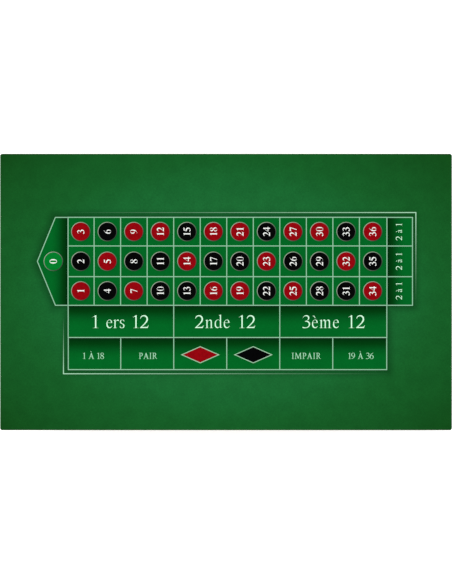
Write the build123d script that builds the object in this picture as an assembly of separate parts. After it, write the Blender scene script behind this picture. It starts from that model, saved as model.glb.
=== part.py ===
"""Roulette betting table on two folding leg frames, in millimetres.

The playing top is a cloth-covered board with the betting layout in thin stepped panels. Below it are an
apron of four mitred rails, two leg frames that fold in under the top, and four levelling feet.
+Z is up, +X runs from the zero to the high numbers, and +Y points away from the player's side. The origin
is on the floor under the centre of the top.
"""

import os
from math import cos, hypot, pi, sin

from build123d import *

PARTS = "parts"
os.makedirs(PARTS, exist_ok=True)

# Playing top
top_length = 1334.0
top_width = 816.0
table_height = 780.0  # floor to playing cloth
cloth = 1.5
foam = 4.0
board = 22.0
hem_width = 36.0  # cloth turned in under the board
top_corner_radius = 7.0
cloth_edge_radius = 5.0

# Betting layout, as line centres
cell_length = 78.1  # one number box along X
streets = 12
first_cell_trim = 1.5  # the zero field laps this far over the first street
last_cell_extra = 2.9  # the last street is this much longer
row_widths = (84.3, 90.5, 84.3)  # the three number rows, along Y
layout_centre_x = 2.2  # the line between streets 6 and 7
number_top_y = 219.9
dozen_width = 94.8
column_length = 75.9
zero_shoulder = 38.0  # straight part of the zero field, along X
zero_point = 91.0  # how far the zero field's tip stands out
line_width = 2.8
line_height = 0.5
panel_step = 2.5  # each level of the layout rises by this
frame_line_gap = 14.4  # outer frame line to the field beside it
frame_line_short_gap = 12.3  # the same, below the outside bets
frame_line_end_gap = 10.3  # the same, past the column bets
frame_line_end = 0.7  # width of a frame line where it tapers out

# Number discs and diamonds
disc_radius = 26.5
rim_width = 2.1
rim_height = 1.8
disc_height = 1.4
diamond_length = 115.0
diamond_width = 50.5
diamond_border = 2.4
diamond_drop = 3.5  # the diamonds sit this far below the middle of their field

# Apron
rail_thickness = 20.0
rail_depth = 90.0
rail_setback = 16.0  # rail face behind the cloth edge
groove_width = 4.0
groove_depth = 2.5
groove_height = 12.0  # groove centre above the rail's lower edge
batten_width = 100.0
batten_thickness = 18.0
stop_rail_width = 25.0
stop_rail_depth = 40.0
rail_edge_radius = 3.0
corner_block_side = 34.0
corner_block_height = 28.0

# Leg frames
pivot_x = 570.0
pivot_drop = 71.0  # playing cloth to pivot axis
leg_size = 44.0
leg_foot_size = 32.0
leg_edge_chamfer = 2.0
leg_square_length = 140.0  # untapered length below the pivot
left_leg_y = 330.0
right_leg_y = 270.0  # the right frame folds between the left frame's legs
upper_bar = (30.0, 50.0)  # thickness along X, depth along Z
upper_bar_drop = 110.0  # pivot to bar centre
stretcher = (24.0, 36.0)
stretcher_drop = 395.0
tenon_length = 18.0
tenon_shoulder = 5.0

# Pivot hardware
plate = 4.0
plate_gap = 0.5
flange_width = 34.0
slot_radius = 34.0
slot_width = 8.8
plate_margin = 12.0  # plate beyond the slot's centre line
plate_back = 16.0  # plate behind the pivot
bolt_radius = 4.0
running_gap = 0.05
loose_gap = 0.1
bolt_head_radius = 9.0
bolt_head_height = 5.0
washer_height = 1.2
nut_across_flats = 13.0
nut_height = 6.5
knob_radius = 19.0
knob_hub_radius = 9.0
knob_length = 28.0
knob_hub_length = 8.0
knob_lobes = 5
knob_gap = 0.3

# Feet
pad_radius = 18.0
pad_top_radius = 12.0
pad_height = 8.0
hex_height = 5.4
hex_across_flats = 14.0
foot_height = 14.0  # floor to the ferrule's underside, screwed right in
foot_gap = 0.3
stem_length = 34.0
ferrule_height = 32.0
ferrule_wall = 1.6
ferrule_floor = 2.0

# Wood screws
screw_radius = 2.0
screw_head_radius = 4.0
screw_head_height = 1.6

# Worked out from the dimensions above
cloth_top = table_height
foam_top = cloth_top - cloth
board_top = foam_top - foam
board_bottom = board_top - board
rail_top = board_bottom - cloth
rail_bottom = rail_top - rail_depth
batten_bottom = board_bottom - batten_thickness
rail_x = top_length / 2 - rail_setback
rail_y = top_width / 2 - rail_setback
inner_x = rail_x - rail_thickness
inner_y = rail_y - rail_thickness
pivot_z = cloth_top - pivot_drop

line_half = line_width / 2
first_line_x = layout_centre_x - cell_length * (streets / 2 - 1)
number_left = first_line_x - cell_length + first_cell_trim
number_right = first_line_x + cell_length * (streets - 1) + last_cell_extra
number_bottom_y = number_top_y - sum(row_widths)
dozen_bottom_y = number_bottom_y - dozen_width
outside_bottom_y = dozen_bottom_y - dozen_width
column_right = number_right + column_length
number_middle_y = (number_top_y + number_bottom_y) / 2
outer_level = cloth_top + panel_step
dozen_level = outer_level + panel_step
number_level = dozen_level + panel_step
street_lines = [first_line_x + cell_length * n for n in range(streets - 1)]
row_lines = [number_top_y - row_widths[0], number_bottom_y + row_widths[2]]
row_centres = [
    number_top_y - row_widths[0] / 2,
    number_middle_y,
    number_bottom_y + row_widths[2] / 2,
]

RED_NUMBERS = {1, 3, 5, 7, 9, 12, 14, 16, 18, 19, 21, 23, 25, 27, 30, 32, 34, 36}
SIDES = {"left": -1, "right": 1}
ENDS = {"front": -1, "back": 1}
LEG_Y = {"left": left_leg_y, "right": right_leg_y}


def block(x, y, z):
    """A box from three (low, high) pairs."""
    size = [high - low for low, high in (x, y, z)]
    middle = [(high + low) / 2 for low, high in (x, y, z)]
    return Pos(*middle) * Box(*size)


def span(a, b):
    """A (low, high) pair from two limits in either order."""
    return (min(a, b), max(a, b))


def prism(points, bottom, top):
    """A polygon in X and Y, extruded from bottom to top."""
    outline = make_face(Polyline(*points, close=True))
    return Pos(0, 0, bottom) * extrude(outline, top - bottom)


def rod(radius, x, z, y_from, y_to):
    """A cylinder along Y."""
    low, high = span(y_from, y_to)
    return Pos(x, (low + high) / 2, z) * Rot(90, 0, 0) * Cylinder(radius, high - low)


def upright_edges(shape):
    return shape.edges().filter_by(Axis.Z)


def top_edges(shape):
    return shape.faces().sort_by(Axis.Z)[-1].edges()


def rounded_slab(length, width, bottom, top, corner_radius, edge_radius):
    """A board with round upright corners and a round upper edge."""
    slab = block((-length / 2, length / 2), (-width / 2, width / 2), (bottom, top))
    slab = fillet(upright_edges(slab), corner_radius)
    return fillet(top_edges(slab), edge_radius) if edge_radius else slab


def save(name, *shapes):
    """Writes one node, as a compound where it is several solids."""
    solids = [solid for shape in shapes for solid in shape.solids()]
    node = solids[0] if len(solids) == 1 else Compound(children=solids)
    export_step(node, os.path.join(PARTS, name + ".step"))


# Top: board, underlay and cloth


def playing_top():
    length, width = top_length - 2 * cloth, top_width - 2 * cloth
    corner = top_corner_radius - cloth
    top_board = rounded_slab(length, width, board_bottom, board_top, corner, 0)
    underlay = rounded_slab(length, width, board_top, foam_top, corner, cloth_edge_radius - cloth)
    skin = rounded_slab(
        top_length, top_width, rail_top, cloth_top, top_corner_radius, cloth_edge_radius
    )
    window_x, window_y = top_length / 2 - hem_width, top_width / 2 - hem_width
    window = block((-window_x, window_x), (-window_y, window_y), (rail_top, board_bottom))
    return top_board, underlay, skin - underlay - top_board - window


# Betting layout


def field(x, y, level):
    """A layout panel that stands on the cloth, with its upper edges eased."""
    panel = block(span(*x), span(*y), (cloth_top, level))
    return chamfer(top_edges(panel), 0.4)


def zero_outline_points(offset):
    """The zero field's corners, moved outwards from the line centres by offset."""
    shoulder_x = number_left - zero_shoulder
    tip_x = number_left - zero_point
    half = (number_top_y - number_bottom_y) / 2
    run = zero_point - zero_shoulder
    slope = hypot(run, half)
    tip = tip_x - offset * slope / half
    shoulder = shoulder_x - offset * (slope - run) / half
    inner = number_left - line_half
    return [
        (inner, number_middle_y + half + offset),
        (shoulder, number_middle_y + half + offset),
        (tip, number_middle_y),
        (shoulder, number_middle_y - half - offset),
        (inner, number_middle_y - half - offset),
    ]


def layout_panels():
    left, right = number_left - line_half, number_right + line_half
    top, bottom = number_top_y + line_half, number_bottom_y - line_half
    dozen_edge, outside_edge = dozen_bottom_y - line_half, outside_bottom_y - line_half
    zero = prism(zero_outline_points(line_half), cloth_top, outer_level)
    return {
        "number_panel": field((left, right), (bottom, top), number_level),
        "dozen_panel": field((left, right), (dozen_edge, bottom), dozen_level),
        "outside_panel": field((left, right), (outside_edge, dozen_edge), outer_level),
        "column_panel": field((right, column_right + line_half), (bottom, top), outer_level),
        "zero_panel": chamfer(top_edges(zero), 0.4),
    }


def line_x(y, x_from, x_to, level):
    """A tape along X."""
    return block(span(x_from, x_to), (y - line_half, y + line_half), (level, level + line_height))


def line_y(x, y_from, y_to, level):
    """A tape along Y."""
    return block((x - line_half, x + line_half), span(y_from, y_to), (level, level + line_height))


def joined(tapes):
    whole = tapes[0]
    for tape in tapes[1:]:
        whole += tape
    return whole


def field_lines():
    """The white tapes on each panel. A tape on a border lies on the higher panel."""
    left, right = number_left - line_half, number_right + line_half
    top, bottom = number_top_y + line_half, number_bottom_y - line_half
    column_edge = column_right + line_half
    numbers = [line_x(y, left, right, number_level) for y in (number_top_y, number_bottom_y)]
    numbers += [line_x(y, left, right, number_level) for y in row_lines]
    numbers += [line_y(x, bottom, top, number_level) for x in street_lines]
    numbers += [line_y(x, bottom, top, number_level) for x in (number_left, number_right)]
    dozens = [line_x(dozen_bottom_y, left, right, dozen_level)]
    dozen_lines_x = (number_left, street_lines[3], street_lines[7], number_right)
    dozens += [line_y(x, dozen_bottom_y, bottom, dozen_level) for x in dozen_lines_x]
    outside_top = dozen_bottom_y - line_half
    outside = [line_x(outside_bottom_y, left, right, outer_level)]
    outside_lines_x = [number_left, *street_lines[1::2], number_right]
    outside += [line_y(x, outside_bottom_y, outside_top, outer_level) for x in outside_lines_x]
    columns = [line_y(column_right, bottom, top, outer_level)]
    for y in (number_top_y, *row_lines, number_bottom_y):
        columns.append(line_x(y, right, column_edge, outer_level))
    ring = prism(zero_outline_points(line_half), outer_level, outer_level + line_height)
    hole = prism(zero_outline_points(-line_half), outer_level, outer_level + line_height)
    return {
        "number_lines": joined(numbers),
        "dozen_lines": joined(dozens),
        "outside_lines": joined(outside),
        "column_lines": joined(columns),
        "zero_outline": ring - hole,
    }


def frame_line(corner, x_end, y_end):
    """An outer frame line: two arms from a corner, each tapering out towards its end."""
    x, y = corner
    x_way, y_way = (1 if x_end > x else -1), (1 if y_end > y else -1)
    tip = frame_line_end / 2
    points = [
        (x - x_way * line_half, y - y_way * line_half),
        (x_end, y - tip),
        (x_end, y + tip),
        (x + x_way * line_half, y + y_way * line_half),
        (x + tip, y_end),
        (x - tip, y_end),
    ]
    if y_way < 0:
        points[1], points[2] = points[2], points[1]
    if x_way > 0:
        points[4], points[5] = points[4], points[5]
    else:
        points[4], points[5] = points[5], points[4]
    return prism(points, cloth_top, cloth_top + line_height)


def frame_lines():
    back = (column_right + frame_line_end_gap, number_top_y + frame_line_gap)
    front = (number_left - frame_line_gap, outside_bottom_y - frame_line_short_gap)
    return {
        "back_frame_line": frame_line(back, number_left, number_bottom_y),
        "front_frame_line": frame_line(front, number_right, dozen_bottom_y + 60),
    }


def disc(x, y, level):
    body = Cylinder(disc_radius - loose_gap, disc_height)
    body = chamfer(top_edges(body), 0.3)
    return Pos(x, y, level + disc_height / 2) * body


def rim(x, y, level):
    """A round-topped ring about a disc."""
    middle = disc_radius + rim_width / 2
    crown = Pos(middle, rim_height - rim_width / 2) * Circle(rim_width / 2)
    band = Pos(middle, rim_height / 2) * Rectangle(rim_width, rim_height)
    lower = Pos(middle, rim_height / 4) * Rectangle(rim_width, rim_height / 2)
    return Pos(x, y, level) * revolve(Plane.XZ * ((crown & band) + lower), Axis.Z)


def number_discs():
    red, black, rims = [], [], []
    for street in range(streets):
        x = first_line_x - cell_length / 2 + cell_length * street
        for row, y in enumerate(row_centres):
            number = 3 * street + 3 - row
            (red if number in RED_NUMBERS else black).append(disc(x, y, number_level))
            rims.append(rim(x, y, number_level))
    zero_x = number_left - zero_shoulder - 6.0
    return {
        "red_discs": red,
        "black_discs": black,
        "zero_disc": [disc(zero_x, number_middle_y, outer_level)],
        "disc_rims": [*rims, rim(zero_x, number_middle_y, outer_level)],
    }


def rhombus(x, y, length, width, height):
    points = [(x - length / 2, y), (x, y - width / 2), (x + length / 2, y), (x, y + width / 2)]
    return prism(points, outer_level, outer_level + height)


def diamonds():
    y = (dozen_bottom_y + outside_bottom_y) / 2 - diamond_drop
    slope = hypot(diamond_length, diamond_width)
    inner_length = diamond_length - 2 * diamond_border * slope / diamond_width
    inner_width = diamond_width - 2 * diamond_border * slope / diamond_length
    centres = {
        "red_diamond": (street_lines[3] + street_lines[5]) / 2,
        "black_diamond": (street_lines[5] + street_lines[7]) / 2,
    }
    borders, found = [], {}
    for name, x in centres.items():
        found[name] = [rhombus(x, y, inner_length, inner_width, 0.8)]
        outer = rhombus(x, y, diamond_length, diamond_width, 1.1)
        borders.append(outer - rhombus(x, y, inner_length, inner_width, 1.1))
    found["diamond_borders"] = borders
    return found


# Apron and what is fixed under the board


def apron_rails():
    """Four rails, mitred at the corners, with one groove running round their outer faces."""
    z = (rail_bottom, rail_top)
    groove_z = rail_bottom + groove_height
    groove = block((-rail_x, rail_x), (-rail_y, rail_y), (groove_z, groove_z + groove_width))
    core_x, core_y = rail_x - groove_depth, rail_y - groove_depth
    groove -= block((-core_x, core_x), (-core_y, core_y), (groove_z, groove_z + groove_width))
    envelope = block((-rail_x, rail_x), (-rail_y, rail_y), z)
    lower_edges = envelope.faces().sort_by(Axis.Z)[0].edges()
    envelope = fillet(upright_edges(envelope) + lower_edges, rail_edge_radius)
    rails = {}
    for name, way in ENDS.items():
        y, inside = way * rail_y, way * inner_y
        points = [(-rail_x, y), (rail_x, y), (inner_x, inside), (-inner_x, inside)]
        rails[name + "_rail"] = (prism(points, *z) & envelope) - groove
    for name, way in SIDES.items():
        x, inside = way * rail_x, way * inner_x
        points = [(x, -rail_y), (x, rail_y), (inside, inner_y), (inside, -inner_y)]
        rails[name + "_rail"] = (prism(points, *z) & envelope) - groove
    return rails


def battens():
    z = (batten_bottom, board_bottom)
    y = (-inner_y, inner_y)
    half = batten_width / 2
    return {
        "left_batten": block((-pivot_x - half, -pivot_x + half), y, z),
        "centre_batten": block((-half, half), y, z),
        "right_batten": block((pivot_x - half, pivot_x + half), y, z),
    }


def stop_rails():
    """Cross rails that the open legs bear on."""
    near = pivot_x + leg_size / 2
    z = (rail_bottom + 3.0, rail_bottom + 3.0 + stop_rail_depth)
    y = (-inner_y, inner_y)
    return {
        name + "_stop_rail": block(span(way * near, way * (near + stop_rail_width)), y, z)
        for name, way in SIDES.items()
    }


def corner_blocks():
    side, top = corner_block_side, batten_bottom
    blocks = []
    for x_way in SIDES.values():
        for y_way in ENDS.values():
            x, y = x_way * inner_x, y_way * inner_y
            points = [(x, y), (x - x_way * side, y), (x, y - y_way * side)]
            blocks.append(prism(points, top - corner_block_height, top))
    return blocks


def arc_slot(x, way):
    """The plate's quarter slot, from straight below the pivot round to the inward side."""
    outer, inner = slot_radius + slot_width / 2, slot_radius - slot_width / 2
    ring = Circle(outer) - Circle(inner)
    corner = (outer if way < 0 else -outer) / 2
    quarter = ring & Pos(corner, -outer / 2) * Rectangle(outer, outer)
    end_x = slot_radius if way < 0 else -slot_radius
    quarter += Pos(0, -slot_radius) * Circle(slot_width / 2)
    quarter += Pos(end_x, 0) * Circle(slot_width / 2)
    return quarter


def pivot_plate(side, end):
    """An angle plate: a flange under the batten, and a web with the pivot hole and the quarter slot."""
    side_way, end_way = SIDES[side], ENDS[end]
    x = side_way * pivot_x
    inward = -side_way
    reach = slot_radius + plate_margin
    web_top = batten_bottom - pivot_z
    outline = Pos(inward * (reach - plate_back) / 2, web_top / 2) * Rectangle(
        reach + plate_back, web_top
    )
    outline += Pos(inward * reach / 2, -reach / 2) * Rectangle(reach, reach) & Circle(reach)
    outline += Pos(-inward * plate_back / 2, -reach / 2) * Rectangle(plate_back, reach)
    outline -= arc_slot(x, side_way)
    outline -= Circle(bolt_radius + loose_gap)
    web_outer = LEG_Y[side] - leg_size / 2 - plate_gap
    web = extrude(Plane.XZ * outline, plate / 2, both=True)
    web = Pos(x, end_way * (web_outer - plate / 2), pivot_z) * web
    flange_x = span(x - inward * plate_back, x + inward * reach)
    flange_y = span(end_way * web_outer, end_way * (web_outer - flange_width))
    return web + block(flange_x, flange_y, (batten_bottom - plate, batten_bottom))


def plate_screws(side, end):
    """Two screws up through a plate's flange."""
    side_way, end_way = SIDES[side], ENDS[end]
    web_outer = LEG_Y[side] - leg_size / 2 - plate_gap
    y = end_way * (web_outer - flange_width + 10.0)
    bottom = batten_bottom - plate
    xs = (side_way * (pivot_x + 6.0), side_way * (pivot_x - slot_radius))
    return [wood_screw(x, y, bottom, batten_thickness - 2.0 + plate) for x in xs]


def batten_screws():
    """Screws up through the battens into the board, clear of the leg frames' plates."""
    screws = []
    for x in (-pivot_x, 0.0, pivot_x):
        for y in (-inner_y + 20.0, -120.0, 120.0, inner_y - 20.0):
            screws.append(wood_screw(x, y, batten_bottom, batten_thickness + 14.0))
    return screws


def wood_screw(x, y, z, length):
    """A round-head screw that enters upwards at z, with a cross recess in its head."""
    head = Pos(x, y, z - screw_head_height / 2) * Cylinder(screw_head_radius, screw_head_height)
    head = fillet(head.faces().sort_by(Axis.Z)[0].edges(), screw_head_height * 0.6)
    for turn in (0, 90):
        recess = Rot(0, 0, turn) * Box(4.2, 0.9, 1.6)
        head -= Pos(x, y, z - screw_head_height) * recess
    return head + Pos(x, y, z + length / 2) * Cylinder(screw_radius, length)


# Pivot bolts


def dome_head(x, z, y_seat, way, radius, height):
    """A domed bolt head that stands out from y_seat along way."""
    head = rod(radius, x, z, y_seat, y_seat + way * height)
    outer = head.faces().sort_by(Axis.Y)[-1 if way > 0 else 0]
    return fillet(outer.edges(), height * 0.7)


def hexagon_along_y(across_flats, x, z, y_from, y_to, bore):
    low, high = span(y_from, y_to)
    outline = RegularPolygon(across_flats / 2, 6, major_radius=False) - Circle(bore)
    body = extrude(Plane.XZ * outline, (high - low) / 2, both=True)
    return Pos(x, (low + high) / 2, z) * body


def pivot_bolt(side, end):
    """The bolt that a leg turns on, fixed to its plate."""
    way = ENDS[end]
    x = SIDES[side] * pivot_x
    web_inner = LEG_Y[side] - leg_size / 2 - plate_gap - plate
    tail = LEG_Y[side] + leg_size / 2 + washer_height + nut_height + 3.0
    head = dome_head(x, pivot_z, way * web_inner, -way, bolt_head_radius, bolt_head_height)
    return head + rod(bolt_radius, x, pivot_z, way * web_inner, way * tail)


def pivot_nut(side, end):
    """The lock nut on a pivot bolt, with its washer."""
    way = ENDS[end]
    x = SIDES[side] * pivot_x
    seat = LEG_Y[side] + leg_size / 2 + 0.4
    bore = bolt_radius + 0.02
    washer = rod(8.0, x, pivot_z, way * seat, way * (seat + washer_height))
    washer -= rod(bore, x, pivot_z, way * seat, way * (seat + washer_height))
    near, far = seat + washer_height, seat + washer_height + nut_height
    return washer + hexagon_along_y(nut_across_flats, x, pivot_z, way * near, way * far, bore)


# Leg frames


def leg_section(side, x, y, z):
    """A square leg's section, its corners taken off."""
    square = Rectangle(side, side)
    return Pos(x, y, z) * chamfer(square.vertices(), leg_edge_chamfer)


def leg_blank(x, y):
    """A leg with no holes: a square head with a round top, then a taper to the foot."""
    half = leg_size / 2
    square_bottom = pivot_z - leg_square_length
    upper = leg_section(leg_size, x, y, square_bottom)
    lower = leg_section(leg_foot_size, x, y, foot_height + ferrule_floor)
    head = extrude(upper, leg_square_length, dir=(0, 0, 1))
    return head + loft([lower, upper]) + rod(half, x, pivot_z, y - half, y + half)


def tenon(x, y_shoulder, y_way, z, section):
    """A tenon that runs from inside the bar into the leg."""
    thickness, depth = section
    half_x, half_z = thickness / 2 - tenon_shoulder, depth / 2 - tenon_shoulder
    y = span(y_shoulder - y_way * tenon_length, y_shoulder + y_way * tenon_length)
    return block((x - half_x, x + half_x), y, (z - half_z, z + half_z))


def ferrule(x, y, blank):
    half = leg_foot_size / 2 + ferrule_wall
    z = (foot_height, foot_height + ferrule_height)
    cup = block((x - half, x + half), (y - half, y + half), z)
    cup = fillet(upright_edges(cup), ferrule_wall)
    hole = Pos(x, y, foot_height) * Cylinder(bolt_radius + loose_gap, 4 * ferrule_floor)
    return cup - blank - hole


def clamp_bolt(side, end):
    """The bolt that rides with a leg, through the plate's slot, and takes the knob."""
    way = ENDS[end]
    x, z = SIDES[side] * pivot_x, pivot_z - slot_radius
    outer = LEG_Y[side] + leg_size / 2
    head = dome_head(x, z, way * outer, way, bolt_head_radius, 4.0)
    tip = outer - leg_size - plate_gap - plate - knob_gap - knob_length + 6.0
    return head + rod(bolt_radius, x, z, way * outer, way * tip)


def leg_frame(side):
    """Two legs, two cross bars, the clamp bolts and the ferrules of one side."""
    x = SIDES[side] * pivot_x
    leg_y = LEG_Y[side]
    bars = {
        "upper_bar": (pivot_z - upper_bar_drop, upper_bar),
        "stretcher": (pivot_z - stretcher_drop, stretcher),
    }
    blanks = {end: leg_blank(x, way * leg_y) for end, way in ENDS.items()}
    legs = dict(blanks)
    nodes = {}
    for name, (z, section) in bars.items():
        half_x, half_z = section[0] / 2, section[1] / 2
        bar = block((x - half_x, x + half_x), (-leg_y, leg_y), (z - half_z, z + half_z))
        for end, way in ENDS.items():
            bar -= blanks[end]
        bar = fillet(bar.edges().filter_by(Axis.Y), 3.0)
        shoulder = leg_y - leg_size / 2
        for end, way in ENDS.items():
            stub = tenon(x, way * shoulder, way, z, section)
            bar += stub
            legs[end] -= stub
        nodes[f"{side}_{name}"] = [bar]
    clamp_z = pivot_z - slot_radius
    stem_top = foot_height + stem_length
    for end, way in ENDS.items():
        near, far = way * (leg_y - leg_size), way * (leg_y + leg_size)
        leg = legs[end]
        leg -= rod(bolt_radius + running_gap, x, pivot_z, near, far)
        leg -= rod(bolt_radius + loose_gap, x, clamp_z, near, far)
        leg -= Pos(x, way * leg_y, stem_top / 2) * Cylinder(bolt_radius + loose_gap, stem_top)
        nodes[f"{side}_{end}_leg"] = [leg]
    nodes[f"{side}_ferrules"] = [ferrule(x, way * leg_y, blanks[end]) for end, way in ENDS.items()]
    nodes[f"{side}_clamp_bolts"] = [clamp_bolt(side, end) for end in ENDS]
    return nodes


def clamp_knob(side, end):
    """A five-lobed hand knob on a clamp bolt."""
    way = ENDS[end]
    x, z = SIDES[side] * pivot_x, pivot_z - slot_radius
    seat = LEG_Y[side] - leg_size / 2 - plate_gap - plate - knob_gap
    grip_start, grip_end = seat - knob_hub_length, seat - knob_length
    hub = rod(knob_hub_radius, x, z, way * seat, way * grip_start)
    star = Circle(knob_radius)
    notch_radius = knob_radius * 0.36
    notch_at = knob_radius * 1.12
    for lobe in range(knob_lobes):
        angle = 2 * pi * (lobe + 0.5) / knob_lobes + pi / 2
        star -= Pos(notch_at * cos(angle), notch_at * sin(angle)) * Circle(notch_radius)
    star = fillet(star.vertices(), 2.5)
    grip = extrude(Plane.XZ * star, (grip_start - grip_end) / 2, both=True)
    grip = fillet(grip.faces().filter_by(Axis.Y).edges(), 2.0)
    grip = Pos(x, way * (grip_start + grip_end) / 2, z) * grip
    bore_end = grip_end + 4.0
    return hub + grip - rod(bolt_radius + loose_gap, x, z, way * seat, way * bore_end)


# Feet


def foot_pad(x, y):
    """A round pad with a socket that the stem turns in."""
    section = Polyline(
        (0, 0), (pad_radius - 1, 0), (pad_radius, 1), (pad_radius, 3),
        (pad_top_radius, pad_height), (0, pad_height), close=True,
    )
    pad = revolve(Plane.XZ * make_face(section), Axis.Z)
    socket = Pos(0, 0, pad_height) * Cylinder(bolt_radius + 2 * loose_gap, 2 * (pad_height - 3))
    return Pos(x, y, 0) * (pad - socket)


def foot_stem(x, y):
    """A threaded stem with a hexagon for the spanner."""
    bottom = 3 + foot_gap
    top = foot_height + stem_length - foot_gap * 10
    stem = Pos(0, 0, (bottom + top) / 2) * Cylinder(bolt_radius, top - bottom)
    stem = chamfer(stem.edges(), 0.6)
    nut = extrude(RegularPolygon(hex_across_flats / 2, 6, major_radius=False), hex_height)
    return Pos(x, y, 0) * (stem + Pos(0, 0, pad_height + foot_gap) * nut)


# Write every node

top_board, underlay, playing_cloth = playing_top()
screws = batten_screws()
plates = []
for side in SIDES:
    for end in ENDS:
        screws += plate_screws(side, end)
        plates.append(pivot_plate(side, end))


def drilled(shape, near):
    """shape with the holes of those screws that pass through it."""
    for screw in near:
        shape -= screw
    return shape


save("top_board", drilled(top_board, screws))
save("foam_underlay", underlay)
save("playing_cloth", playing_cloth)
for name, shape in {**layout_panels(), **field_lines(), **frame_lines()}.items():
    save(name, shape)
for name, shapes in {**number_discs(), **diamonds()}.items():
    save(name, *shapes)
for name, shape in {**apron_rails(), **stop_rails()}.items():
    save(name, shape)
for name, shape in battens().items():
    save(name, drilled(shape, screws))
save("corner_blocks", *corner_blocks())
save("pivot_plates", *[drilled(shape, screws) for shape in plates])
save("wood_screws", *screws)
save("pivot_bolts", *[pivot_bolt(side, end) for side in SIDES for end in ENDS])
save("pivot_nuts", *[pivot_nut(side, end) for side in SIDES for end in ENDS])
for side in SIDES:
    for name, shapes in leg_frame(side).items():
        save(name, *shapes)
    for end, way in ENDS.items():
        x, y = SIDES[side] * pivot_x, way * LEG_Y[side]
        save(f"{side}_{end}_knob", clamp_knob(side, end))
        save(f"{side}_{end}_foot_pad", foot_pad(x, y))
        save(f"{side}_{end}_foot_stem", foot_stem(x, y))
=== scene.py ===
"""Roulette table: its looks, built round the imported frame.

Sizes are in metres and pattern scales in millimetres.
"""

from math import hypot, pi, radians

import bmesh
import bpy
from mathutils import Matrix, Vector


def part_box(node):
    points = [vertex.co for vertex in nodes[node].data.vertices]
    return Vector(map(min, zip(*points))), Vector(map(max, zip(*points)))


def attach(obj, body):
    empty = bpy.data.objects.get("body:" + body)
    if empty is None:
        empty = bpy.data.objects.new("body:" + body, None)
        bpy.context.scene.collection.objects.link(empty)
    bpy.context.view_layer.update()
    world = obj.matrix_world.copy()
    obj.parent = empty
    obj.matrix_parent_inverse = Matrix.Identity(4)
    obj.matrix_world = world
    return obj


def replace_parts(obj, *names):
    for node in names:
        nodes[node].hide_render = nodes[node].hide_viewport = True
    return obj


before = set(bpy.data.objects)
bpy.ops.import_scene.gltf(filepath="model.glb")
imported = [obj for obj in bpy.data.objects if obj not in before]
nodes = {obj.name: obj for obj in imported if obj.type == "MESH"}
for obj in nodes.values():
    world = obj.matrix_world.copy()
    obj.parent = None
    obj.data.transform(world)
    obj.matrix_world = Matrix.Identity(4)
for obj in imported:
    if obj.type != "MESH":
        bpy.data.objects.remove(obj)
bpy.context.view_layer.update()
MM = 0.001
LIFT = 0.05 * MM  # print stands this far clear of what it lies on
PRINT_DEPTH = 0.1 * MM
HEM = 36 * MM  # felt turned in under the board
FELT = 1.5 * MM
CORNER_RADIUS = 7 * MM
EDGE_RADIUS = 5 * MM
PANEL_SHADOW_REACH = 59 * MM  # how far the painted shadow of the raised field above reaches into the dozens and outside fields
# how far the painted shadow of the raised number field reaches into the zero and column fields
ZERO_SHADOW_REACH = 48 * MM
COLUMN_SHADOW_REACH = 52 * MM
NUMERAL_HEIGHT = 21 * MM
BET_HEIGHT = 18 * MM  # capitals of the column and outside bets
DOZEN_HEIGHT = 38 * MM
SIDES = ("left", "right")
ENDS = ("front", "back")

# The layout, worked out from the frame
board_low, board_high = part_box("playing_cloth")
number_low, number_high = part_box("number_panel")
dozen_low, dozen_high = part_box("dozen_panel")
outside_low, outside_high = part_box("outside_panel")
column_low, column_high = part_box("column_panel")
zero_low, zero_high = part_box("zero_panel")
discs_low, discs_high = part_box("red_discs")
zero_disc_low, zero_disc_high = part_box("zero_disc")
cloth_top = board_high[2]
STREETS, ROWS = 12, 3
DISC_RADIUS = (zero_disc_high[0] - zero_disc_low[0]) / 2
PITCH_X = (discs_high[0] - discs_low[0] - 2 * DISC_RADIUS) / (STREETS - 1)
PITCH_Y = (discs_high[1] - discs_low[1] - 2 * DISC_RADIUS) / (ROWS - 1)
FIRST_X = discs_low[0] + DISC_RADIUS
FIRST_Y = discs_low[1] + DISC_RADIUS
FIRST_LINE_X = FIRST_X + PITCH_X / 2
ZERO_POINT_RUN = 53 * MM  # how far the slanted sides of the zero field reach along X

# ---------------------------------------------------------------- material tools


def linear(code):
    """A colour in linear light from an sRGB hex value."""
    channels = [int(code[place:place + 2], 16) / 255 for place in (0, 2, 4)]
    return tuple(c / 12.92 if c <= 0.04045 else ((c + 0.055) / 1.055) ** 2.4 for c in channels) + (1.0,)


def add(tree, kind, links=None, **settings):
    """Adds one node: its settings, then its inputs, each a fixed value or another node's output."""
    node = tree.nodes.new("ShaderNode" + kind)
    for name, value in settings.items():
        setattr(node, name, value)
    for key, value in (links or {}).items():
        if isinstance(value, bpy.types.NodeSocket):
            tree.links.new(value, node.inputs[key])
        else:
            node.inputs[key].default_value = value
    return node


def sums(tree, operation, a, b=0.0):
    """One step of arithmetic on numbers or other nodes' outputs."""
    return add(tree, "Math", {0: a, 1: b}, operation=operation).outputs[0]


def tint(tree, amount, low, high):
    """low where amount is 0, high where it is 1."""
    mix = add(tree, "Mix", {0: amount, 6: low, 7: high}, data_type="RGBA", clamp_factor=True)
    return mix.outputs[2]


def ramp(tree, amount, low, high, *between):
    """A colour that runs from low to high through the (place, colour) pairs between them, as hex values."""
    node = add(tree, "ValToRGB", {0: amount})
    stops = node.color_ramp.elements
    stops[0].color, stops[1].color = linear(low), linear(high)
    for at, code in between:
        stops.new(at).color = linear(code)
    return node.outputs[0]


def span(tree, value, low, high, to_low=0.0, to_high=1.0, smooth=True):
    """value's range from low to high, mapped to another range and held at its ends."""
    kind = "SMOOTHSTEP" if smooth else "LINEAR"
    links = {0: value, 1: low, 2: high, 3: to_low, 4: to_high}
    return add(tree, "MapRange", links, interpolation_type=kind).outputs[0]


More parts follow.
